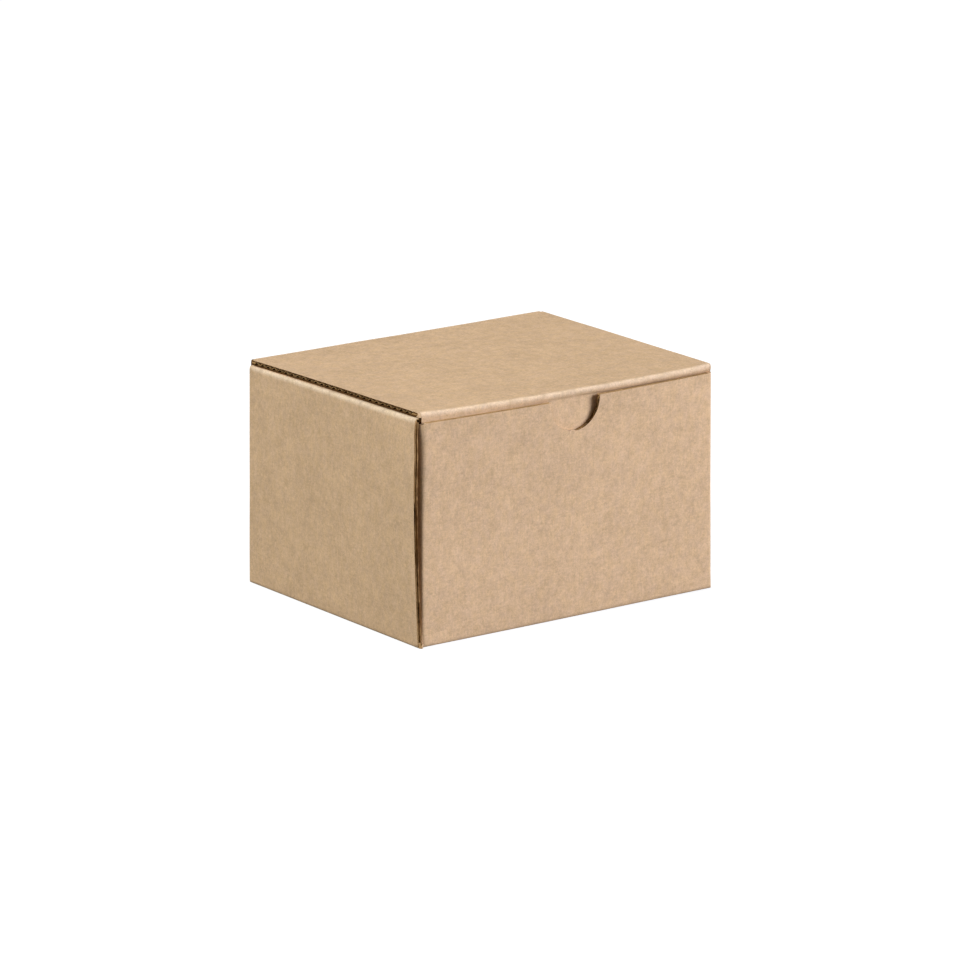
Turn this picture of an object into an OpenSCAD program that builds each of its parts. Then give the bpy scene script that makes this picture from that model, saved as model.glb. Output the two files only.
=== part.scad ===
// Roll-end tuck-top carton, folded from one sheet of corrugated board.
// Origin at the middle of the base, +Z up, front wall towards -Y, flutes of the base strip along X.

/* [Box] */
// Outside width, left to right
box_w = 126; // [100:1:180]
// Outside depth, front to back
box_d = 101; // [85:1:150]
// Outside height with the lid closed
box_h = 80; // [60:1:120]

/* [Board] */
// Thickness of the board
board_t = 1.6; // [1.5:0.1:1.8]
// Thickness of each flat liner
liner_t = 0.25; // [0.2:0.01:0.3]
// Thickness of the wavy sheet between the liners
wave_t = 0.2; // [0.15:0.01:0.25]
// Distance from one flute to the next
flute_pitch = 3.5; // [3:0.1:4.5]
// Outer radius of every fold
fold_r = 2; // [1.9:0.1:2.4]
// Air between two layers of board that lie against each other
layer_gap = 0.15; // [0.12:0.01:0.25]

/* [Front wall] */
// How far the front wall's cut edge lies below the closed lid's top
front_drop = 2.8; // [2.7:0.1:4]
// Radius of the thumb notch
notch_r = 10.3; // [8:0.1:12]
// Height of the notch's centre below the front wall's cut edge
notch_sink = 1; // [0:0.1:3]
// Sideways place of the notch, to the right of the middle
notch_shift = 1.2; // [-5:0.1:5]

/* [Side walls] */
// How far the left side's front edge stands behind the front wall
left_setback = 0; // [0:0.1:4]
// How far the right side's front edge stands behind the front wall
right_setback = 3.8; // [0:0.1:4]
// How far both sides' back edges stand in front of the back wall
back_setback = 0.8; // [0.5:0.1:3]
// Length of the corner flaps between the two layers of a side
corner_flap_l = 38; // [20:1:40]
// Width of each lock tab under the inner side panels
tab_w = 22; // [12:1:26]
// Play of a lock tab in its slot, on each side
tab_play = 0.2; // [0.15:0.05:0.4]

/* [Lid] */
// How far the lid's side edges lie inside the side walls' outer faces
lid_inset = 0.9; // [0.5:0.1:2]
// Length of the tuck flap, measured down from the lid's top
flap_l = 21; // [16:0.5:22]
// Air between the tuck flap and the front wall
flap_gap = 0.8; // [0.7:0.05:1.2]
// Air between the tuck flap and the front edges of the inner side panels
flap_room = 0.8; // [0.6:0.1:2]
// Air between the tuck flap's ends and the corner flaps
flap_end_play = 0.45; // [0.3:0.05:2]
// Radius of the tuck flap's lower corners
flap_corner_r = 8; // [3:0.5:10]

/* [Hidden] */
kraft = "#d2b491";
eps = 0.01;
$fn = 48;

inner_r = fold_r - board_t;
half_w = box_w / 2;
half_d = box_d / 2;
front_top = box_h - front_drop;

// A side wall, from its outer face inwards: outer panel, corner flap, inner panel
wall_x = half_w - board_t - layer_gap;
flap_x = wall_x - board_t;
inner_x = flap_x - layer_gap;
stack_x = inner_x - board_t;
roll_top = box_h - board_t - layer_gap;

// The tuck flap behind the front wall, and the inner side panels behind the tuck flap
flap_y = -half_d + board_t + flap_gap;
lid_bend_y = flap_y + fold_r;
inner_front_y = flap_y + board_t + flap_room;
inner_back_y = half_d - board_t - 4 * layer_gap;
lid_x = half_w - lid_inset;
crease_x = wall_x - layer_gap;
tuck_x = flap_x - flap_end_play;

// Height of the wave, from its middle line to a crest
wave_a = (board_t - 2 * liner_t - wave_t) / 2;
// A flute's hollow is left out where it narrows to nothing beside a crest
hollow_half = 0.39 * flute_pitch;
hollow_points = 4;
notch_z = front_top - notch_sink;

// 2D section in (y, z), run along X from x0 to x1
module along_x(x0, x1) {
    translate([x0, 0, 0]) rotate([90, 0, 90]) linear_extrude(x1 - x0) children();
}

// 2D section in (x, z), run along Y from y0 to y1
module along_y(y0, y1) {
    translate([0, y1, 0]) rotate([90, 0, 0]) linear_extrude(y1 - y0) children();
}

// 2D plan in (x, y), run up from z0 to z1
module along_z(z0, z1) {
    translate([0, 0, z0]) linear_extrude(z1 - z0) children();
}

// Rectangle between two corners
module span(low, high) {
    translate(low) square(high - low);
}

// Board bent round centre, from angle a0 over a turn of at most 90 degrees. At each joined end a short
// straight tail runs on into the flat board that follows.
module bend(centre, a0, turn = 90, joined = [true, true]) {
    reach = 2 * fold_r;
    tail = board_t / 8;
    translate(centre) {
        intersection() {
            difference() {
                circle(fold_r);
                circle(inner_r);
            }
            polygon([[0, 0], reach * [cos(a0), sin(a0)],
                     reach * 1.5 * [cos(a0 + turn / 2), sin(a0 + turn / 2)],
                     reach * [cos(a0 + turn), sin(a0 + turn)]]);
        }
        if (joined[0]) rotate(a0) span([inner_r, -tail], [fold_r, 0]);
        if (joined[1]) rotate(a0 + turn) span([inner_r, 0], [fold_r, tail]);
    }
}

// One flute's hollow, along u, below (side = -1) or above (side = 1) the wave, in a board from v = 0 to board_t
module hollow(u, side) {
    step = hollow_half / hollow_points;
    flat = board_t / 2 + side * (wave_a + wave_t / 2);
    curve = [for (i = [-hollow_points:hollow_points])
        [u + i * step, flat - side * wave_a * (1 + cos(180 * i * step / (flute_pitch / 2)))]];
    polygon(concat(curve, [[u + hollow_half, flat], [u - hollow_half, flat]]));
}

// All the hollows of a flat stretch of board from u0 to u1
module hollows(u0, u1) {
    flutes = floor((u1 - u0) / flute_pitch - 0.5);
    start = (u0 + u1 - (flutes - 0.5) * flute_pitch) / 2;
    for (i = [0:flutes - 1]) {
        hollow(start + i * flute_pitch, 1);
        hollow(start + (i + 0.5) * flute_pitch, -1);
    }
}

// The slit between the liners that shows where a cut runs along a flute, as a box cutter of given size
module slit(low, high) {
    translate(low) cube(high - low);
}

// Base with the four slots that the lock tabs stand in
module base() {
    slot_y = tab_w / 2 + tab_play;
    difference() {
        along_z(0, board_t) span([-half_w + fold_r, -half_d + fold_r], [half_w - fold_r, half_d - fold_r]);
        for (side = [-1, 1], place = [-1, 1])
            translate([side * (stack_x + board_t / 2), place * half_d / 2, board_t / 2])
                cube([board_t + 2 * tab_play, 2 * slot_y, 2 * board_t], center = true);
    }
}

// Corner flap on the right end of a wall whose outer face is at y = 0, with the wall in +Y
module corner_flap(top) {
    foot = board_t + 2 * layer_gap;
    slope = corner_flap_l / 8;
    along_z(fold_r, top) bend([wall_x - fold_r, fold_r], -90);
    along_x(flap_x, wall_x) polygon([[fold_r, foot], [corner_flap_l - slope, foot], [corner_flap_l, foot + 2 * slope],
        [corner_flap_l, roll_top - board_t - 3 * slope], [corner_flap_l - slope, roll_top - board_t - 2 * layer_gap],
        [fold_r, roll_top - board_t - 2 * layer_gap]]);
}

// Wall with its bottom fold and two corner flaps, outer face at y = 0, cut off at height top
module end_wall(top) {
    intersection() {
        along_x(-wall_x, wall_x) {
            bend([fold_r, fold_r], 180);
            span([0, fold_r], [board_t, top]);
        }
        along_z(-eps, top + eps) {
            span([-wall_x + fold_r, 0], [wall_x - fold_r, fold_r]);
            for (side = [-1, 1]) translate([side * (wall_x - fold_r), fold_r]) circle(fold_r);
        }
    }
    for (side = [0, 1]) mirror([side, 0, 0]) corner_flap(top);
}

// Front wall: the notch opens the flutes that it cuts through
module front_wall() {
    flutes = floor(notch_r / flute_pitch);
    translate([0, -half_d, 0]) difference() {
        end_wall(front_top);
        along_x(-wall_x + 2 * fold_r, wall_x - 2 * fold_r) for (i = [0:flutes]) {
            u = front_top - (i + 0.7) * flute_pitch;
            // The board stands upright here, so its section is turned a quarter
            mirror([1, -1]) hollow(u, -1);
            if (i < flutes) mirror([1, -1]) hollow(u - flute_pitch / 2, 1);
        }
        translate([notch_shift, board_t / 2, notch_z]) rotate([90, 0, 0])
            cylinder(r = notch_r, h = 2 * board_t, center = true);
        slit([notch_shift - notch_r, -eps, notch_z], [notch_shift + notch_r, board_t + eps, front_top + eps]);
        slit([-wall_x + fold_r, liner_t, front_top - board_t / 2],
             [wall_x - fold_r, board_t - liner_t - wave_t, front_top + eps]);
    }
}

// Back wall, with its half of the crease that the lid turns on
module back_wall() {
    translate([0, half_d, 0]) mirror([0, 1, 0]) end_wall(box_h - fold_r);
    along_x(-wall_x, wall_x) bend([half_d - fold_r, box_h - fold_r], 0, 45, [true, false]);
}

// The slit that shows at the ends of a side wall, where the cut runs along a flute: up the wall and round its roll
module side_slit() {
    span([half_w - board_t + liner_t + wave_t, fold_r], [half_w - liner_t, roll_top - fold_r]);
    translate([half_w - fold_r, roll_top - fold_r]) intersection() {
        difference() {
            circle(fold_r - liner_t);
            circle(inner_r + liner_t + wave_t);
        }
        square(fold_r);
    }
}

// Right-hand side wall, rolled over and back down, with its front edge at y = front_y
module side_wall(front_y) {
    back_y = half_d - back_setback;
    difference() {
        along_y(front_y, back_y) {
            bend([half_w - fold_r, fold_r], -90);
            span([half_w - board_t, fold_r], [half_w, roll_top - fold_r]);
            intersection() {
                bend([half_w - fold_r, roll_top - fold_r], 0);
                span([half_w - board_t, 0], [half_w, roll_top]);
            }
        }
        for (y = [front_y, back_y]) along_y(y - board_t, y + board_t) side_slit();
    }
    along_y(inner_front_y, inner_back_y) {
        bend([half_w - fold_r, roll_top - fold_r], 0);
        span([stack_x + fold_r, roll_top - board_t], [half_w - fold_r, roll_top]);
        bend([stack_x + fold_r, roll_top - fold_r], 90);
        span([stack_x, board_t + layer_gap], [inner_x, roll_top - fold_r]);
    }
    for (place = [-1, 1]) translate([0, place * half_d / 2, 0])
        along_y(-tab_w / 2, tab_w / 2) span([stack_x, layer_gap], [inner_x, 2 * board_t]);
}

// Everything of the sheet up to the lid's crease
module tray() {
    color(kraft) {
        base();
        front_wall();
        back_wall();
        side_wall(-half_d + right_setback);
        mirror([1, 0, 0]) side_wall(-half_d + left_setback);
    }
}

// Nothing beside the crease hangs below the lid, where the side walls' upper edges run
module clear_of_sides() {
    difference() {
        children();
        for (side = [-1, 1]) translate([side * (crease_x + board_t), lid_bend_y - fold_r, box_h - board_t - fold_r])
            cube([2 * board_t, 2 * fold_r, 2 * fold_r], center = true);
    }
}

// Lid panel, open at both cut sides, with half of the front crease and half of the back one
module lid() {
    color(kraft) {
        clear_of_sides() along_x(-lid_x, lid_x) difference() {
            union() {
                span([lid_bend_y, box_h - board_t], [half_d - fold_r, box_h]);
                bend([lid_bend_y, box_h - fold_r], 90, 45, [true, false]);
            }
            translate([0, box_h - board_t]) hollows(lid_bend_y, half_d - fold_r);
        }
        along_x(-wall_x, wall_x) bend([half_d - fold_r, box_h - fold_r], 45, 45, [false, true]);
    }
}

// Outline of the tuck flap in (x, z): full width at the crease, then clear of the corner flaps, round below
module flap_outline() {
    shoulder = front_top + layer_gap;
    foot = box_h - flap_l;
    span([-lid_x, shoulder], [lid_x, box_h]);
    span([-tuck_x, foot + flap_corner_r], [tuck_x, shoulder]);
    span([-tuck_x + flap_corner_r, foot], [tuck_x - flap_corner_r, foot + flap_corner_r]);
    for (side = [-1, 1]) translate([side * (tuck_x - flap_corner_r), foot + flap_corner_r]) circle(flap_corner_r);
}

// Tuck flap behind the front wall, with the other half of the front crease
module tuck_flap() {
    foot = box_h - flap_l;
    color(kraft) intersection() {
        clear_of_sides() along_x(-lid_x, lid_x) difference() {
            union() {
                bend([lid_bend_y, box_h - fold_r], 135, 45, [false, true]);
                span([flap_y, foot], [flap_y + board_t, box_h - fold_r]);
            }
            translate([flap_y, 0]) mirror([1, -1]) hollows(foot, box_h - fold_r);
        }
        along_y(flap_y - fold_r, lid_bend_y + fold_r) flap_outline();
    }
}

tray();
lid();
tuck_flap();
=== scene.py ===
import math

import bmesh
import bpy
import numpy as np
from bpy.props import FloatProperty, FloatVectorProperty, IntProperty, PointerProperty
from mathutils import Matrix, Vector, noise


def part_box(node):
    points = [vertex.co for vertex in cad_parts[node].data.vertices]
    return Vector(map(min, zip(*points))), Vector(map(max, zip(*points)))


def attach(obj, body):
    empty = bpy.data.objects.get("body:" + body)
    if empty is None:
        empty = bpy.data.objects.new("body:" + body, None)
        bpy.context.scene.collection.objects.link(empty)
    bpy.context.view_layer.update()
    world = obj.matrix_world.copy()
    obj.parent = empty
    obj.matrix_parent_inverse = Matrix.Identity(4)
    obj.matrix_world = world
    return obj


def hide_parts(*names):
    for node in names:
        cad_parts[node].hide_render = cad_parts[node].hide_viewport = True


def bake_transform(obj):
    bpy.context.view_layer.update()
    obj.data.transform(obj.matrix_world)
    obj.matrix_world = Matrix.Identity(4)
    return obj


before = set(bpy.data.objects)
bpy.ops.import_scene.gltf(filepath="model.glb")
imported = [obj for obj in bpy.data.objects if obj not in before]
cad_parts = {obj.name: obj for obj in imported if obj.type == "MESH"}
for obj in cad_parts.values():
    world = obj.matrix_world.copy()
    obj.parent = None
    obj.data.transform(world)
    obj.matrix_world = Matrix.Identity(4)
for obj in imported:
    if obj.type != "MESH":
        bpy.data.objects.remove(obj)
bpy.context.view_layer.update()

bl_info = {
    "name": "Corrugated Carton",
    "version": (1, 0, 0),
    "blender": (4, 5, 0),
    "location": "View3D > Sidebar > Carton",
    "description": "Dresses a folded roll-end tuck-top carton as plain brown corrugated board",
    "category": "Object",
}

MM = 0.001

# Sizes of the carton in millimetres, as its solids are made
BOARD = 1.6
FOLD_R = 2.0
CLEARANCE = 0.15
FRONT_DROP = 2.8
RIGHT_SETBACK = 3.8
NOTCH_X = 1.2
NOTCH_R = 10.3
NOTCH_DROP = 1.0

# Places of its parts in millimetres, worked out from the solids
TRAY_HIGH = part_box("tray")[1] / MM
LID_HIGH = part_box("lid")[1] / MM
FLAP_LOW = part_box("tuck_flap")[0] / MM
HALF_W = TRAY_HIGH.x
HALF_D = TRAY_HIGH.y
TOP = LID_HIGH.z
LID_X = LID_HIGH.x
WALL_X = HALF_W - BOARD - CLEARANCE
CREASE_X = WALL_X - CLEARANCE
ROLL_TOP = TOP - BOARD - CLEARANCE
FRONT_TOP = TOP - FRONT_DROP
NOTCH_Z = FRONT_TOP - NOTCH_DROP
FLAP_Y = FLAP_LOW.y
FRONT_BEND = (FLAP_Y + FOLD_R, TOP - FOLD_R)
BACK_BEND = (HALF_D - FOLD_R, TOP - FOLD_R)

# How near a point counts as on a plane, and a hair's breadth, in millimetres
NEAR = 0.02
HAIR = 0.05

# The straight tails of a crease's skin: their rows of points, and how far apart those are in millimetres
TAIL_STEPS = 4
TAIL_STEP = 0.4

# The camera: where it looks and its lens in millimetres, its angles in degrees, its distance in metres
CAMERA_TARGET = (19.843, 28.306, 28.73)
CAMERA_AZIMUTH = -36.0
CAMERA_ELEVATION = 14.83
CAMERA_DISTANCE = 2.0821
CAMERA_LENS = 222.42


def length(name, description, default):
    """A length in metres, given in millimetres."""
    return FloatProperty(name=name, description=description, default=default * MM, unit="LENGTH", precision=5)


def level(name, description, default):
    """A strength that can't fall below nought."""
    return FloatProperty(name=name, description=description, default=default, min=0)


def colour(name, description, levels):
    """A colour given as screen levels from 0 to 255, kept as linear light."""
    linear = [((v / 255 + 0.055) / 1.055) ** 2.4 for v in levels]
    return FloatVectorProperty(name=name, description=description, default=linear,
                               subtype="COLOR", min=0, max=1)


class CartonShape(bpy.types.PropertyGroup):
    """How far the board bows and waves once it is folded."""

    front_bow: length("Front bow", "How far the middle of the front wall's upper edge stands out", 2.0)
    lid_bow: length("Lid bow", "How far the middle of the lid's front fold stands out", 1.5)
    overhang: length("Overhang", "How far the lid's front fold leans over the front wall", 0.85)
    side_bow: length("Side bow", "How far the left side's free front edge stands out", 1.65)
    side_lean: length("Side lean", "How far the left side's free front edge falls back towards its top", 1.3)
    side_rise: length("Side rise", "How much higher the left side stands at its front end", 1.1)
    lid_rise: length("Lid rise", "How far the lid's left front corner rises with it", 0.45)
    lid_skew: length("Lid skew", "How far the lid's left front corner is set in", 1.4)
    lid_spread: length("Lid spread", "How far the lid's left back corner stands out", 0.6)
    settle: length("Settle", "How far the lid sinks", 0.2)
    roll_settle: length("Roll settle", "How far the left rolled side sinks", 0.45)
    flap_gap: length("Flap gap", "Air between the front wall and the tuck flap behind the thumb notch", 1.5)
    right_spread: length("Right spread", "How far the right side stands out", 0.45)
    toe_lift: length("Toe lift", "How far the front wall's right foot lifts off the floor", 0.35)
    flare: length("Flare", "How much further out the walls stand at the base than half way up", 0.25)
    unevenness: length("Unevenness", "How far the flat panels wave", 0.1)
    seed: IntProperty(name="Seed", description="Chooses the waves", default=2, min=1)
    grid: length("Grid", "Spacing of the cuts that let the flat panels bend", 6.0)


class CartonBoard(bpy.types.PropertyGroup):
    """Colours of the board."""

    liner: colour("Liner", "Brown outer paper", (209, 179, 144))
    # Painted highlight: this colour is partly the paper stretched pale over a fold and partly a highlight
    # painted on the folds' crests
    fold: colour("Fold", "Paper stretched over a fold", (246, 224, 196))
    cut: colour("Cut edge", "Wavy sheet and torn fibres on a cut edge", (178, 144, 98))
    # Painted shade: this dark cut-edge colour stands in for the shade in the flutes' hollows and along the
    # liners' edges, and partly for the darker crushed board
    crush_and_shade: colour("Hollow", "Crushed and shaded parts of a cut edge", (92, 63, 32))
    fleck: colour("Fleck", "Dark fibres in the paper", (160, 124, 84))
    mottle: level("Mottle", "Strength of the cloudy tone", 0.9)


class CartonFibres(bpy.types.PropertyGroup):
    """Loose paper fibres along the cut edges."""

    spacing: length("Spacing", "Distance between fibres along an edge", 0.35)
    reach: length("Reach", "Length of a fibre", 0.45)
    thickness: length("Thickness", "Radius of a fibre", 0.016)
    seed: IntProperty(name="Seed", description="Chooses the scatter", default=7)


class CartonStage(bpy.types.PropertyGroup):
    """Floor and lamps."""

    floor: colour("Floor", "Floor, as it throws light back on the carton", (137, 136, 135))
    ambient: level("Ambient", "Level of the even light", 0.108)
    bounce: colour("Bounce", "Even light, warmed by the board that it has bounced off", (255, 237, 206))
    right_level: level("Right lamp", "Level of the low lamp on the right", 1.08)
    left_level: level("Left lamp", "Level of the high lamp on the left", 0.81)


def settings(name):
    return getattr(bpy.context.scene, "carton_" + name)


# Bows and waves of the folded sheet

def ramp(value, start, end):
    """0 up to start, 1 from end on and straight between; end may be the smaller of the two."""
    return np.clip((value - start) / (end - start), 0, 1)


def ease(value, start, end):
    """A ramp that sets off and arrives gently."""
    t = ramp(value, start, end)
    return t * t * (3 - 2 * t)


def across(x, half):
    """1 in the middle of a panel, 0 at its sides."""
    return np.clip(1 - (x / half) ** 2, 0, 1)


def square_off(co, axes, centre, signs, power=4.0):
    """Draws a round fold towards the corner of its two flat sides; the fold's inside hardly moves."""
    a, b = ((co[:, axis] - c) * sign for axis, c, sign in zip(axes, centre, signs))
    radius = np.hypot(a, b)
    inside = (a > 0) & (b > 0) & (radius < FOLD_R + HAIR)
    safe = np.maximum(radius, 1e-6)
    corner = ((a / safe).clip(0) ** power + (b / safe).clip(0) ** power).clip(1e-6) ** (-1 / power)
    stretch = np.where(inside, (corner - 1) * (radius / FOLD_R) ** 2, 0)
    for axis, offset, sign in zip(axes, (a, b), signs):
        co[:, axis] += offset * stretch * sign


def square_folds(co, part):
    """Draws the long folds squarer than quarter rings, the ones at the base a little less than the others."""
    base_power = 3.0
    square_off(co, (1, 2), BACK_BEND, (1, 1))
    if part == "lid":
        square_off(co, (1, 2), FRONT_BEND, (-1, 1))
        return
    for side in (-1, 1):
        square_off(co, (0, 2), (side * (HALF_W - FOLD_R), ROLL_TOP - FOLD_R), (side, 1))
        square_off(co, (0, 2), (side * (HALF_W - FOLD_R), FOLD_R), (side, -1), base_power)
        square_off(co, (1, 2), (side * (HALF_D - FOLD_R), FOLD_R), (side, -1), base_power)


def wear_tray(co, place):
    """Wear of the front left edge and of the side walls' free front ends."""
    rub = 0.9
    crush = 1.1
    x, y, z = place
    # The front wall's left edge is a true quarter ring at its top and squarer lower down
    power = 2 + 2 * ease(z, 70, 30)
    square_off(co, (0, 1), (FOLD_R - WALL_X, FOLD_R - HALF_D), (-1, -1), power)
    # The open flutes of the sides' front ends are crushed shut, all but their mouths
    behind_mouth = (y > 0.5 - HALF_D) & (y < 2 * BOARD - HALF_D)
    between_liners = (np.abs(x) > WALL_X + 0.3) & (np.abs(x) < HALF_W - 0.2)
    co[:, 1] -= crush * (behind_mouth & between_liners)
    # The front wall's left top corner is rubbed down
    in_front_wall = (np.abs(x) < WALL_X + HAIR) & (y < -47.5)
    co[:, 2] -= rub * ease(x, -59, -61) * ease(z, 68, 77) * in_front_wall


def bow_tray(co, place, forward, out):
    """Bows of the tray; forward is 0 at the back and 1 at the front, out is how far the front wall bulges."""
    shape = settings("shape")
    x, y, z = place
    co[:, 1] -= out * ease(y, -44, -48)
    # The left side swells towards its free front edge, most at the crest's height, and leans back above it
    crest = 54
    swell_depth = 65
    below = z < crest
    fall = np.where(below, crest - z, z - crest) / np.where(below, crest, ROLL_TOP - crest)
    swell = (1 - fall ** np.where(below, 1.5, 2)).clip(0, 1) * ramp(y, swell_depth - HALF_D, -HALF_D) ** 2
    panel = x < -WALL_X - HAIR
    co[:, 0] -= shape.side_bow / MM * swell * panel
    co[:, 1] += shape.side_lean / MM * ease(z, 64, 76) * ease(y, -40, -48) * panel
    # Its roll rises towards the front
    height = ramp(z, 0, ROLL_TOP)
    rise = shape.side_rise / MM * forward - shape.roll_settle / MM
    co[:, 2] += rise * height * ease(x, -60.6, -61.8)
    # The right side stands out, and the right foot lifts
    co[:, 0] += shape.right_spread / MM * ease(x, 30, 55)
    co[:, 2] += shape.toe_lift / MM * ease(x, -30, 60) * ease(forward, 0.5, 1) * (1 - height)


def bow_lid(co, place, forward, out):
    """Bows of the lid and the tuck flap; the flap follows the front wall, which bulges by out."""
    shape = settings("shape")
    x, y, z = place
    front = ease(y, -20, -46)
    behind = ease(z, FRONT_TOP, FRONT_TOP - 3)
    gap = shape.flap_gap / MM * np.maximum(ramp(z, 62, FRONT_TOP), 0.2) ** 1.4
    near = out + (FLAP_Y - BOARD + HALF_D - gap) * across(x, LID_X)
    co[:, 1] -= shape.lid_bow / MM * across(x, LID_X) * front * (1 - behind) + near * behind
    # The fold steps back to go behind the front wall, and a little higher up where the thumb notch bares it
    most_lean = 1.3
    lean_slope = 0.02
    bare = ease(np.abs(x - NOTCH_X), 16, 8)
    above = z - FRONT_TOP - 0.4 * bare
    step = 0.6 * ease(above, -0.6, 1.6) + 0.4 * ease(above, -0.35, 0.45)
    lean = np.clip(shape.overhang / MM + lean_slope * x, 0, most_lean)
    co[:, 1] -= lean * step * front
    # The lid is skewed at its left end, and its right front corner is set in a little
    right_in = 0.5
    set_in = shape.lid_skew / MM * forward - shape.lid_spread / MM * (1 - forward)
    co[:, 0] += set_in * ease(x, -52, -61) - right_in * ease(x, 52, 61) * front
    # Its right end stands up a little, the front corner turns up, and its left end rises and arches
    right_up = 0.2
    upturn_slope = 0.0375
    left_arch = 0.25
    co[:, 2] += right_up * ease(x, 20, 60) * ease(y, -46, -26)
    upturn = upturn_slope * np.maximum(x - 54, 0)
    co[:, 2] += upturn * ramp(y, -24, -42) * ramp(z, FRONT_TOP, FRONT_TOP + 2)
    co[:, 2] += (shape.lid_rise / MM * forward + left_arch * across(y, HALF_D)) * ease(x, -40, -62)
    co[:, 2] -= shape.settle / MM * (1 - behind)


def wave(co, size, seed):
    """Waves the panels by up to size, and less near the floor that the carton stands on."""
    spread = 24
    foot = 12
    noise.seed_set(seed)
    share = ramp(co[:, 2], 0, foot)
    for i, point in enumerate(co):
        co[i] += np.array(noise.noise_vector(Vector(point) / spread)) * size * share[i]


def bow(co, part):
    """Bows the folded board, in millimetres; part is tray or lid, and the tuck flap bows as the lid does."""
    shape = settings("shape")
    square_folds(co, part)
    place = co.T.copy()
    x, y, z = place
    forward = ramp(y, HALF_D, -HALF_D)
    out = shape.front_bow / MM * across(x, WALL_X) * ramp(z, 0, FRONT_TOP) ** 3
    if part == "tray":
        wear_tray(co, place)
        bow_tray(co, place, forward, out)
    else:
        bow_lid(co, place, forward, out)
    flare = shape.flare / MM * (1 - 2 * z / TOP)
    co[:, 0] += flare * x / HALF_W
    co[:, 1] += flare * y / HALF_D
    wave(co, shape.unevenness / MM, shape.seed)
    return co


def places(mesh):
    """The mesh's points in metres, one row each."""
    co = np.zeros(len(mesh.vertices) * 3)
    mesh.vertices.foreach_get("co", co)
    return co.reshape(-1, 3)


def bow_mesh(mesh, part):
    co = bow(places(mesh) / MM, part) * MM
    mesh.vertices.foreach_set("co", co.ravel())
    mesh.update()


# Materials

class Nodes:
    """Short hand for building a node tree."""

    def __init__(self, tree):
        self.tree = tree

    def add(self, kind, links=None, **values):
        node = self.tree.nodes.new(kind)
        for key, value in values.items():
            setattr(node, key, value)
        for socket, source in (links or {}).items():
            self.set(node, socket, source)
        return node

    def set(self, node, socket, source):
        target = node.inputs[socket]
        if isinstance(source, bpy.types.NodeSocket):
            self.tree.links.new(source, target)
        else:
            target.default_value = source

    def maths(self, operation, a, b=0.0):
        return self.add("ShaderNodeMath", {0: a, 1: b}, operation=operation).outputs[0]

    def ramp(self, value, low, high, to_low=0.0, to_high=1.0):
        links = {"Value": value, "From Min": low, "From Max": high, "To Min": to_low, "To Max": to_high}
        return self.add("ShaderNodeMapRange", links).outputs["Result"]

    def noise(self, vector, scale, detail=4.0, rough=0.6):
        links = {"Vector": vector, "Scale": scale, "Detail": detail, "Roughness": rough}
        return self.add("ShaderNodeTexNoise", links).outputs[0]

    def stretch(self, vector, scale):
        return self.add("ShaderNodeMapping", {"Vector": vector, "Scale": scale}).outputs[0]

    def mix(self, factor, a, b, blend="MIX"):
        node = self.add("ShaderNodeMix", data_type="RGBA", blend_type=blend)
        for socket, source in ((0, factor), (6, a), (7, b)):
            self.set(node, socket, source)
        return node.outputs[2]


def new_material(name):
    material = bpy.data.materials.new(name)
    material.use_nodes = True
    material.node_tree.nodes.clear()
    nodes = Nodes(material.node_tree)
    output = nodes.add("ShaderNodeOutputMaterial")
    return material, nodes, output


def rgba(value):
    return (*value, 1.0)


def paper(nodes, output, base, fleck, mottle, bump_mm):
    """Fibrous paper: cloudy tone and tint, fine speckle, dark flecks and short fibres, with a slight bump.

    base is a function that adds the ground colour, and takes the nodes and the patchy tone."""
    place = nodes.add("ShaderNodeTexCoord").outputs["Object"]
    clouds = nodes.ramp(nodes.noise(place, 45, 3), 0.3, 0.7)
    patches = nodes.ramp(nodes.noise(place, 260, 4), 0.3, 0.7)
    speckle = nodes.ramp(nodes.noise(place, 900, 3, 0.7), 0.28, 0.72)
    grit = nodes.ramp(nodes.noise(place, 2300, 2), 0.3, 0.7)
    # Fibres lie along all three axes, drawn out by a low scale along each
    along, over = 260, 2100
    fibres = [nodes.noise(nodes.stretch(place, scale), 1.0, 3, 0.65)
              for scale in ((along, over, over), (over, along, over), (over, over, along))]
    fibre = nodes.ramp(nodes.maths("ADD", nodes.maths("ADD", fibres[0], fibres[1]), fibres[2]), 1.2, 1.8)
    tone = 0.0
    for value, share in ((clouds, 0.12), (patches, 0.22), (speckle, 0.3), (grit, 0.24), (fibre, 0.2)):
        tone = nodes.maths("ADD", nodes.maths("MULTIPLY", value, share), tone)
    shade = nodes.ramp(tone, 0.29, 0.79, 1 - 0.2 * mottle, 1 + 0.2 * mottle)
    ground = nodes.mix(1.0, base(nodes, patches), shade, "MULTIPLY")
    tint = nodes.ramp(nodes.noise(nodes.stretch(place, (1, 1, 0.7)), 380, 3), 0.35, 0.65)
    yellow, blue = (1.005, 1, 0.965, 1), (0.995, 1, 1.035, 1)
    ground = nodes.mix(1.0, ground, nodes.mix(tint, yellow, blue), "MULTIPLY")
    dark = nodes.ramp(nodes.noise(nodes.stretch(place, (420, 900, 640)), 1.0, 5, 0.7), 0.62, 0.72)
    ground = nodes.mix(nodes.maths("MULTIPLY", dark, 0.35), ground, rgba(fleck))
    height = nodes.maths("ADD", nodes.maths("MULTIPLY", fibre, 0.6), speckle)
    links = {"Height": height, "Distance": bump_mm * MM, "Strength": 0.5}
    bump = nodes.add("ShaderNodeBump", links).outputs[0]
    links = {"Base Color": ground, "Roughness": 0.9, "Normal": bump, "Specular IOR Level": 0.08}
    nodes.set(output, "Surface", nodes.add("ShaderNodeBsdfPrincipled", links).outputs[0])


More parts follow.
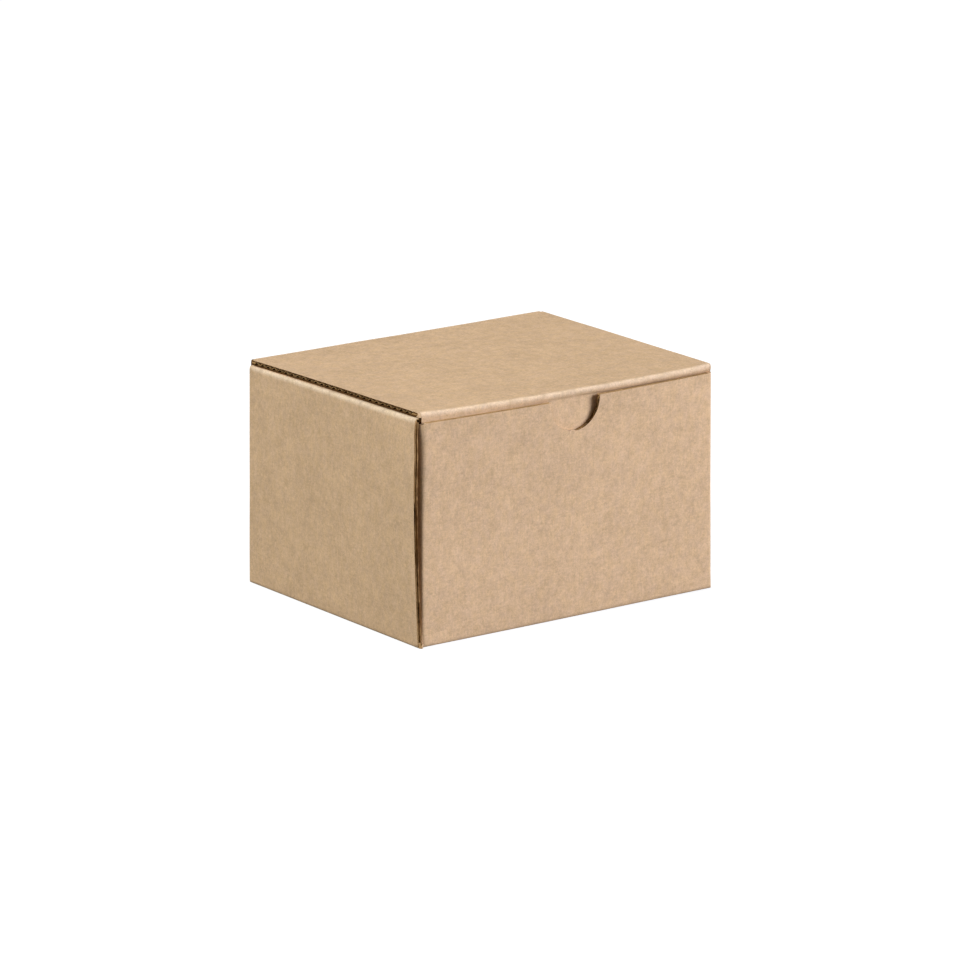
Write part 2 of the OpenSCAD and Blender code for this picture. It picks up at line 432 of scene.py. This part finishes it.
def liner_material():
    material = bpy.data.materials.get("kraft_liner")
    if material:
        return material
    board = settings("board")

    def base(nodes, patches):
        # Painted highlight: the liner turns towards the fold colour on the folds' crests, partly for the
        # paper stretched pale there, broken up by the patches
        pale_and_highlight = nodes.add("ShaderNodeAttribute", attribute_name="fold").outputs["Fac"]
        pale_and_highlight = nodes.maths("MULTIPLY", pale_and_highlight, nodes.ramp(patches, -0.8, 0.5))
        return nodes.mix(pale_and_highlight, rgba(board.liner), rgba(board.fold))

    material, nodes, output = new_material("kraft_liner")
    paper(nodes, output, base, board.fleck, board.mottle, 0.03)
    return material


def cut_material():
    material = bpy.data.materials.get("kraft_cut_edge")
    if material:
        return material
    board = settings("board")

    def base(nodes, patches):
        # Painted shade: the cut edge turns to the dark shade colour towards both liners, with ragged bounds
        layer = nodes.add("ShaderNodeAttribute", attribute_name="layer").outputs["Fac"]
        depth = nodes.maths("ABSOLUTE", nodes.maths("SUBTRACT", layer, 0.5))
        ragged = nodes.maths("ADD", depth, nodes.maths("MULTIPLY", patches, 0.3))
        edge = nodes.mix(nodes.ramp(ragged, 0.2, 0.42), rgba(board.cut), rgba(board.crush_and_shade))
        # Painted light: the thumb notch's lower left edge turns pale, to the fold colour
        notch_light = nodes.add("ShaderNodeAttribute", attribute_name="notch_light").outputs["Fac"]
        return nodes.mix(notch_light, edge, rgba(board.fold))

    material, nodes, output = new_material("kraft_cut_edge")
    paper(nodes, output, base, board.fleck, 0.9, 0.08)
    return material


# Board pieces

def within(value, low, high):
    return low + NEAR < value < high - NEAR


def is_cut(part, centre, normal):
    """Whether a face of the solid takes the cut-edge material: a raw cut edge or the wall of a flute, and not
    one of the liners, save the side panels' inner faces by their front ends, which take it as painted shade.
    """
    x, y, z = centre
    if part == "lid":
        if y < FRONT_BEND[0] or y > BACK_BEND[0]:
            return abs(normal.x) > 0.5
        return abs(normal.z) < 0.99 or within(z, TOP - BOARD, TOP)
    if part == "tuck_flap":
        if z > FRONT_BEND[1]:
            return False
        return abs(normal.y) < 0.99 or within(y, FLAP_Y, FLAP_Y + BOARD)
    faces_end = abs(normal.y) > 0.9
    side_end = abs(x) > WALL_X + NEAR and faces_end
    # Painted shade: the side panel's inner face by its front end, in the slit beside the corner flap, takes
    # the dark cut-edge colour
    side_slit_shade = WALL_X + NEAR < abs(x) < HALF_W - BOARD + HAIR and y < -48
    roll = math.hypot(abs(x) - HALF_W + FOLD_R, z - ROLL_TOP + FOLD_R) if z > ROLL_TOP - FOLD_R else 0
    if side_end or side_slit_shade or (abs(x) > WALL_X and 0.5 < roll < FOLD_R - 0.1):
        return True
    in_front_wall = within(y, -HALF_D, BOARD - HALF_D) and abs(x) < WALL_X - FOLD_R and z > FOLD_R
    in_side = within(abs(x), HALF_W - BOARD, HALF_W) and FOLD_R < z < ROLL_TOP - FOLD_R
    if in_front_wall or in_side:
        return True
    if faces_end:
        return abs(y) <= HALF_D - BOARD - NEAR
    return within(z, 0, BOARD) and abs(x) < WALL_X and abs(y) < HALF_D - FOLD_R


def add_layer_attribute(mesh, node):
    """How deep each point lies in the board, from 0 on the inner liner to 1 on the outer one; the cut edge's
    material paints shade towards both ends of this.
    """
    x, y, z = places(mesh).T / MM
    if node == "lid":
        # The lid's cut edges get less painted shade by the outer liner than by the inner one
        layer = (z - TOP + BOARD) / BOARD - 0.06
    elif node == "tuck_flap":
        layer = (FLAP_Y + BOARD - y) / BOARD
    else:
        beyond = np.where(np.abs(x) > WALL_X, np.abs(x) - HALF_W, np.abs(y) - HALF_D)
        # The tray's cut edges get less painted shade towards the liners, and the front wall's top edge none
        layer = 0.5 + ((beyond + BOARD) / BOARD - 0.5) * 0.55
        layer[(z > FRONT_TOP - HAIR) & (y < BOARD + HAIR - HALF_D)] = 0.5
    attribute = mesh.attributes.new("layer", "FLOAT", "POINT")
    attribute.data.foreach_set("value", layer.clip(0, 1))


def add_fold_highlight(mesh, centre, side, strength):
    """Marks the outer skin of a fold for a highlight painted on the board, strongest half way round the fold,
    where the paper is also stretched pale; this is before the board is bowed.

    The fold runs along X where side is 0, and along Y on both sides of the box where it is 1."""
    co = places(mesh) / MM
    a = np.abs(co[:, 0]) - centre[0] if side else (co[:, 1] - centre[0]) * math.copysign(1, centre[0])
    b = co[:, 2] - centre[1]
    radius = np.hypot(a, b)
    outer = (a > 0) & (b > 0) & (radius > FOLD_R - 0.3) & (radius < FOLD_R + 0.1)
    slant = np.where(outer, 2 * a * b / np.maximum(radius, 1e-6) ** 2, 0)
    attribute = mesh.attributes.new("fold", "FLOAT", "POINT")
    attribute.data.foreach_set("value", slant ** 1.5 * strength)


def paint_notch_light(mesh):
    """Marks the thumb notch's lower left edge for painted light: a pale band in the fold colour where the
    lamps leave the cut edge in shade.
    """
    attribute = mesh.attributes.new("notch_light", "FLOAT", "POINT")
    for vertex, value in zip(mesh.vertices, attribute.data):
        x, y, z = vertex.co / MM
        on_arc = abs(math.hypot(x - NOTCH_X, z - NOTCH_Z) - NOTCH_R) < HAIR and y < BOARD + HAIR - HALF_D
        if on_arc and z < NOTCH_Z - 3 and x < NOTCH_X + 1:
            value.value = 0.75


def finish_piece(mesh, name, sharp_degrees=35):
    mesh.set_sharp_from_angle(angle=math.radians(sharp_degrees))
    mesh.polygons.foreach_set("use_smooth", [True] * len(mesh.polygons))
    mesh.update()
    piece = bpy.data.objects.new(name, mesh)
    bpy.context.scene.collection.objects.link(piece)
    return piece


def cut_through(bm, axis, distance):
    """Adds the edges in which a plane across the axis, at that distance in metres, meets the mesh."""
    normal = Vector((axis == "x", axis == "y", axis == "z"))
    geometry = bm.verts[:] + bm.edges[:] + bm.faces[:]
    bmesh.ops.bisect_plane(bm, geom=geometry, dist=0.0005 * MM, plane_co=normal * distance, plane_no=normal)


def board_piece(node, name, part, axes, heights=()):
    """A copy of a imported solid, cut by a grid so that it can bow, with liners and cut edges told apart.

    axes gives the share of the grid's spacing to use along each axis that is cut, and heights more cuts
    along Z in millimetres."""
    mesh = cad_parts[node].data.copy()
    mesh.name = name
    mesh.materials.clear()
    mesh.materials.append(liner_material())
    mesh.materials.append(cut_material())
    while mesh.attributes.get("UVMap"):
        mesh.attributes.remove(mesh.attributes["UVMap"])
    bm = bmesh.new()
    bm.from_mesh(mesh)
    bmesh.ops.remove_doubles(bm, verts=bm.verts, dist=0.001 * MM)
    bm.normal_update()
    for face in bm.faces:
        face.material_index = int(is_cut(node, face.calc_center_median() / MM, face.normal))
    low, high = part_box(node)
    for axis, share in axes.items():
        grid = settings("shape").grid * share
        index = "xyz".index(axis)
        for i in range(math.ceil(low[index] / grid), math.floor(high[index] / grid) + 1):
            cut_through(bm, axis, i * grid)
    for height in heights:
        cut_through(bm, "z", height * MM)
    bm.normal_update()
    bm.to_mesh(mesh)
    bm.free()
    # Painted highlight along the crests of the rolled sides, partly their paper stretched pale
    add_fold_highlight(mesh, (HALF_W - FOLD_R, ROLL_TOP - FOLD_R), 1, 0.8)
    add_layer_attribute(mesh, node)
    if node == "tray":
        # Painted light on the thumb notch's lower left edge
        paint_notch_light(mesh)
    bow_mesh(mesh, part)
    piece = finish_piece(mesh, name)
    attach(piece, node)
    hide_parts(node)


class CARTON_OT_tray(bpy.types.Operator):
    """Walls, base, corner flaps and lock tabs of the carton"""

    bl_idname = "carton.tray"
    bl_label = "Folded tray"

    def execute(self, context):
        board_piece("tray", "tray_board", "tray", {"x": 1, "y": 1, "z": 1})
        return {"FINISHED"}


class CARTON_OT_lid(bpy.types.Operator):
    """Lid panel with its open flutes"""

    bl_idname = "carton.lid"
    bl_label = "Lid"

    def execute(self, context):
        board_piece("lid", "lid_board", "lid", {"x": 1, "y": 1})
        return {"FINISHED"}


class CARTON_OT_tuck_flap(bpy.types.Operator):
    """Tuck flap behind the front wall"""

    bl_idname = "carton.tuck_flap"
    bl_label = "Tuck flap"

    def execute(self, context):
        # The extra cuts bend the flap where the front crease's lower tail has its rows of points
        fold_cuts = [FRONT_BEND[1] - TAIL_STEP * i for i in range(TAIL_STEPS, -1, -1)]
        board_piece("tuck_flap", "tuck_flap_board", "lid", {"x": 1, "z": 0.25}, fold_cuts)
        return {"FINISHED"}


# Creases

def crease_profile(centre, first):
    """Points in Y and Z around a quarter ring of board, a hair proud, with a straight tail at either end."""
    proud = 0.02
    steps = 14
    outer, inner = FOLD_R + proud, FOLD_R - BOARD - proud
    angles = [math.radians(first + 90 * i / steps) for i in range(steps + 1)]
    radial = [Vector((math.cos(a), math.sin(a))) for a in angles]
    back = Vector((math.sin(angles[0]), -math.cos(angles[0]))) * TAIL_STEP
    onward = Vector((-math.sin(angles[-1]), math.cos(angles[-1]))) * TAIL_STEP
    spine = [(radial[0], back * i) for i in range(TAIL_STEPS, 0, -1)]
    spine += [(r, Vector((0, 0))) for r in radial]
    spine += [(radial[-1], onward * i) for i in range(1, TAIL_STEPS + 1)]
    middle = Vector(centre)
    profile = [middle + r * outer + along for r, along in spine]
    return profile + [middle + r * inner + along for r, along in reversed(spine)]


def crease_piece(name, centre, first, ends, reach):
    """The skin of a fold from the angle first on, bowed as the lid is; the reach sets out a span about the
    fold's apex that is not used further.
    """
    column = 2.0
    profile = crease_profile(centre, first)
    columns = round((ends[1] - ends[0]) / column)
    bm = bmesh.new()
    rows = []
    for i in range(columns + 1):
        x = ends[0] + (ends[1] - ends[0]) * i / columns
        rows.append([bm.verts.new((x * MM, p.x * MM, p.y * MM)) for p in profile])
    count = len(profile)
    for a, b in zip(rows, rows[1:]):
        for k in range(count):
            bm.faces.new((a[k], a[(k + 1) % count], b[(k + 1) % count], b[k]))
    for end in (rows[0][::-1], rows[-1]):
        bm.faces.new(end).material_index = 1
    bmesh.ops.recalc_face_normals(bm, faces=bm.faces)
    mesh = bpy.data.meshes.new(name)
    bm.to_mesh(mesh)
    bm.free()
    mesh.materials.append(liner_material())
    mesh.materials.append(cut_material())
    # Painted highlight along the crease's crest, partly its paper stretched pale
    add_fold_highlight(mesh, centre, 0, 0.5)
    bow_mesh(mesh, "lid")
    piece = finish_piece(mesh, name, 50)
    half = math.radians(first + 45)
    apex = Vector(centre) + Vector((math.cos(half), math.sin(half))) * FOLD_R
    tangent = Vector((-math.sin(half), math.cos(half))) * reach
    start, end = apex - tangent, apex + tangent
    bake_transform(piece)


class CARTON_OT_creases(bpy.types.Operator):
    """Skins of the two creases that the lid and the tuck flap turn on"""

    bl_idname = "carton.creases"
    bl_label = "Creases"

    def execute(self, context):
        crease_piece("front_crease", FRONT_BEND, 90, (-CREASE_X, LID_X - HAIR), 1.2)
        crease_piece("back_crease", BACK_BEND, 0, (HAIR - WALL_X, WALL_X - HAIR), 0.9)
        return {"FINISHED"}


# Loose fibres

def fibre_tree():
    """Short paper fibres along the edges of a mesh, which lean the way that its outward attribute gives."""
    tree = bpy.data.node_groups.new("edge_fibres", "GeometryNodeTree")
    tree.interface.new_socket(name="Edges", in_out="INPUT", socket_type="NodeSocketGeometry")
    for name in ("Spacing", "Reach", "Thickness"):
        tree.interface.new_socket(name=name, in_out="INPUT", socket_type="NodeSocketFloat")
    tree.interface.new_socket(name="Seed", in_out="INPUT", socket_type="NodeSocketInt")
    tree.interface.new_socket(name="Material", in_out="INPUT", socket_type="NodeSocketMaterial")
    tree.interface.new_socket(name="Fibres", in_out="OUTPUT", socket_type="NodeSocketGeometry")
    nodes = Nodes(tree)
    given = nodes.add("NodeGroupInput").outputs
    curve = nodes.add("GeometryNodeMeshToCurve", {"Mesh": given["Edges"]}).outputs[0]
    links = {"Curve": curve, "Length": given["Spacing"]}
    points = nodes.add("GeometryNodeResampleCurve", links, mode="LENGTH").outputs[0]
    links = {"Vertices": 3, "Radius Bottom": given["Thickness"], "Radius Top": 0.0, "Depth": given["Reach"]}
    fibre = nodes.add("GeometryNodeMeshCone", links).outputs["Mesh"]
    outward = nodes.add("GeometryNodeInputNamedAttribute", {"Name": "outward"}, data_type="FLOAT_VECTOR")
    links = {0: (-1, -1, -1), 1: (1, 1, 1), "Seed": given["Seed"]}
    stray = nodes.add("FunctionNodeRandomValue", links, data_type="FLOAT_VECTOR").outputs[0]
    links = {0: outward.outputs[0], 1: stray}
    lean = nodes.add("ShaderNodeVectorMath", links, operation="ADD").outputs[0]
    turn = nodes.add("FunctionNodeAlignRotationToVector", {"Vector": lean}, axis="Z").outputs[0]
    links = {2: 0.3, 3: 1.0, "Seed": given["Seed"]}
    size = nodes.add("FunctionNodeRandomValue", links, data_type="FLOAT").outputs[1]
    links = {"Points": points, "Instance": fibre, "Rotation": turn, "Scale": size}
    placed = nodes.add("GeometryNodeInstanceOnPoints", links).outputs[0]
    real = nodes.add("GeometryNodeRealizeInstances", {"Geometry": placed}).outputs[0]
    links = {"Geometry": real, "Material": given["Material"]}
    dressed = nodes.add("GeometryNodeSetMaterial", links).outputs[0]
    nodes.add("NodeGroupOutput", {"Fibres": dressed})
    return tree


def path_mesh(name, part, paths):
    """The paths as bowed rows of edges; each is a list of points in millimetres and the board's way out."""
    points = []
    ways = []
    edges = []
    for path, out in paths:
        first = len(points)
        edges += [(first + i, first + i + 1) for i in range(len(path) - 1)]
        points += path
        ways += [out] * len(path)
    mesh = bpy.data.meshes.new(name)
    mesh.from_pydata((bow(np.array(points, float), part) * MM).tolist(), edges, [])
    mesh.attributes.new("outward", "FLOAT_VECTOR", "POINT").data.foreach_set("vector", np.ravel(ways))
    return mesh


def fibre_piece(node, name, paths):
    """Fibres along paths on the lid or the tray."""
    piece = bpy.data.objects.new(name, path_mesh(name, node, paths))
    bpy.context.scene.collection.objects.link(piece)
    fibres = settings("fibres")
    values = {"Spacing": fibres.spacing, "Reach": fibres.reach, "Thickness": fibres.thickness,
              "Seed": fibres.seed, "Material": liner_material()}
    modifier = piece.modifiers.new(name, "NODES")
    modifier.node_group = fibre_tree()
    for socket in modifier.node_group.interface.items_tree:
        if socket.name in values:
            modifier[socket.identifier] = values[socket.name]
    scattered = bpy.data.meshes.new_from_object(piece.evaluated_get(bpy.context.evaluated_depsgraph_get()))
    piece.modifiers.clear()
    piece.data = scattered
    if not scattered.polygons:
        raise RuntimeError("no fibres grew on " + name)
    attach(piece, node)


def line(start, end, out):
    """A straight path with a point every few millimetres, so that it can bow."""
    step = 3.0
    start, end = Vector(start), Vector(end)
    count = math.ceil((end - start).length / step)
    return [tuple(start.lerp(end, i / count)) for i in range(count + 1)], out


def lid_paths():
    """Both corners of the cut edge on either side of the lid."""
    front, back = -46, 47
    return [line((side * LID_X, front, z), (side * LID_X, back, z), (side, 0, 0))
            for side in (-1, 1) for z in (TOP - BOARD, TOP)]


def tray_paths():
    """The side walls' front ends, and the front wall's top edge with the thumb notch."""
    low, high = 4, 74
    wall_end = 56
    paths = []
    for side, end in ((-1, -HALF_D), (1, RIGHT_SETBACK - HALF_D)):
        for x in (HALF_W, HALF_W - BOARD):
            paths.append(line((side * x, end, low), (side * x, end, high), (0, -1, 0)))
    for y in (-HALF_D, BOARD - HALF_D):
        paths.append(line((-wall_end, y, FRONT_TOP), (NOTCH_X - NOTCH_R, y, FRONT_TOP), (0, 0, 1)))
        paths.append(line((NOTCH_X + NOTCH_R, y, FRONT_TOP), (wall_end, y, FRONT_TOP), (0, 0, 1)))
        arc = [(NOTCH_X + NOTCH_R * math.cos(a), y, NOTCH_Z - NOTCH_R * math.sin(a))
               for a in np.linspace(0.1, math.pi - 0.1, 24)]
        paths.append((arc, (0, 0, 1)))
    return paths


class CARTON_OT_fibres(bpy.types.Operator):
    """Loose paper fibres along the cut edges of the lid and the tray"""

    bl_idname = "carton.fibres"
    bl_label = "Loose fibres"

    def execute(self, context):
        fibre_piece("lid", "lid_fibres", lid_paths())
        fibre_piece("tray", "tray_fibres", tray_paths())
        return {"FINISHED"}


# Floor, lamps and camera

def direction(azimuth, elevation):
    """The way out from the carton; azimuth 0 is in front of it and 90 on its right."""
    azimuth, elevation = math.radians(azimuth), math.radians(elevation)
    flat = math.cos(elevation)
    return Vector((math.sin(azimuth) * flat, -math.cos(azimuth) * flat, math.sin(elevation)))


def aim(obj, target):
    obj.rotation_euler = (Vector(target) - obj.location).to_track_quat("-Z", "Y").to_euler()


def seen_or_lit(nodes, lit, seen):
    """The shader seen for camera rays, reflections and what glass shows, and lit for all other light."""
    path = nodes.add("ShaderNodeLightPath").outputs
    direct = nodes.maths("MAXIMUM", path["Is Camera Ray"], path["Is Glossy Ray"])
    direct = nodes.maths("MAXIMUM", direct, path["Is Transmission Ray"])
    return nodes.add("ShaderNodeMixShader", {0: direct, 1: lit, 2: seen}).outputs[0]


def add_floor(scene, tint):
    """A floor that is seen as white and throws back light of that tint."""
    side = 6.0
    glow_strength = 0.86
    mesh = bpy.data.meshes.new("floor")
    corners = [(-side, -side, 0), (side, -side, 0), (side, side, 0), (-side, side, 0)]
    mesh.from_pydata(corners, [], [(0, 1, 2, 3)])
    floor = bpy.data.objects.new("floor", mesh)
    scene.collection.objects.link(floor)
    material, nodes, output = new_material("pale_floor")
    plain = nodes.add("ShaderNodeBsdfDiffuse", {"Color": rgba(tint)}).outputs[0]
    thin = nodes.add("ShaderNodeBsdfDiffuse", {"Color": (0.3, 0.3, 0.3, 1)}).outputs[0]
    glow = nodes.add("ShaderNodeEmission", {"Color": (1, 1, 1, 1), "Strength": glow_strength}).outputs[0]
    white = nodes.add("ShaderNodeAddShader", {0: thin, 1: glow}).outputs[0]
    nodes.set(output, "Surface", seen_or_lit(nodes, plain, white))
    mesh.materials.append(material)


def add_world(scene, tint, strength):
    """An even light of that tint and strength, seen as plain white."""
    world = bpy.data.worlds.new("white_room")
    scene.world = world
    world.use_nodes = True
    world.node_tree.nodes.clear()
    nodes = Nodes(world.node_tree)
    output = nodes.add("ShaderNodeOutputWorld")
    even = nodes.add("ShaderNodeBackground", {"Color": rgba(tint), "Strength": strength}).outputs[0]
    white = nodes.add("ShaderNodeBackground", {"Color": (1, 1, 1, 1), "Strength": 1.0}).outputs[0]
    nodes.set(output, "Surface", seen_or_lit(nodes, even, white))


def add_lamp(scene, name, azimuth, elevation, size, brightness, tint):
    """A round lamp that lights a surface facing it to that brightness."""
    distance = 3.0
    lamp = bpy.data.lights.new(name, "AREA")
    lamp.shape = "DISK"
    lamp.size = size
    lamp.energy = brightness * math.pi ** 2 * distance ** 2
    lamp.color = tint
    obj = bpy.data.objects.new(name, lamp)
    scene.collection.objects.link(obj)
    obj.location = direction(azimuth, elevation) * distance
    aim(obj, (0, 0, TOP / 2 * MM))


def add_camera(scene):
    data = bpy.data.cameras.new("camera")
    data.sensor_width = 36
    data.lens = CAMERA_LENS
    data.clip_end = 50
    camera = bpy.data.objects.new("camera", data)
    scene.collection.objects.link(camera)
    target = Vector(CAMERA_TARGET) * MM
    camera.location = target + direction(CAMERA_AZIMUTH, CAMERA_ELEVATION) * CAMERA_DISTANCE
    aim(camera, target)
    scene.camera = camera


class CARTON_OT_stage(bpy.types.Operator):
    """Pale floor, soft light and the camera"""

    bl_idname = "carton.stage"
    bl_label = "Stage"

    def execute(self, context):
        stage = settings("stage")
        scene = context.scene
        scene.view_settings.view_transform = "Standard"
        add_floor(scene, stage.floor)
        add_world(scene, stage.bounce, stage.ambient)
        add_lamp(scene, "right_lamp", 36, 21, 1.7, stage.right_level, (1, 1, 1.09))
        add_lamp(scene, "left_lamp", -105, 40, 1.2, stage.left_level, (1, 1.01, 1.0))
        add_camera(scene)
        return {"FINISHED"}


PIECES = [CARTON_OT_tray, CARTON_OT_lid, CARTON_OT_tuck_flap, CARTON_OT_creases, CARTON_OT_fibres,
          CARTON_OT_stage]
GROUPS = {"shape": CartonShape, "board": CartonBoard, "fibres": CartonFibres, "stage": CartonStage}


class CARTON_PT_pieces(bpy.types.Panel):
    """Lists the carton's pieces and settings"""

    bl_idname = "CARTON_PT_pieces"
    bl_label = "Carton"
    bl_space_type = "VIEW_3D"
    bl_region_type = "UI"
    bl_category = "Carton"

    def draw(self, context):
        for name, group in GROUPS.items():
            column = self.layout.column(align=True)
            column.label(text=name.capitalize())
            for key in group.__annotations__:
                column.prop(settings(name), key)
        for piece in PIECES:
            self.layout.operator(piece.bl_idname)


CLASSES = [*GROUPS.values(), *PIECES, CARTON_PT_pieces]


def register():
    for cls in CLASSES:
        bpy.utils.register_class(cls)
    for name, group in GROUPS.items():
        setattr(bpy.types.Scene, "carton_" + name, PointerProperty(type=group))


def unregister():
    for name in GROUPS:
        delattr(bpy.types.Scene, "carton_" + name)
    for cls in reversed(CLASSES):
        bpy.utils.unregister_class(cls)


def main():
    register()
    bpy.ops.carton.tray()
    bpy.ops.carton.lid()
    bpy.ops.carton.tuck_flap()
    bpy.ops.carton.creases()
    bpy.ops.carton.fibres()
    bpy.ops.carton.stage()


if __name__ == "__main__":
    main()
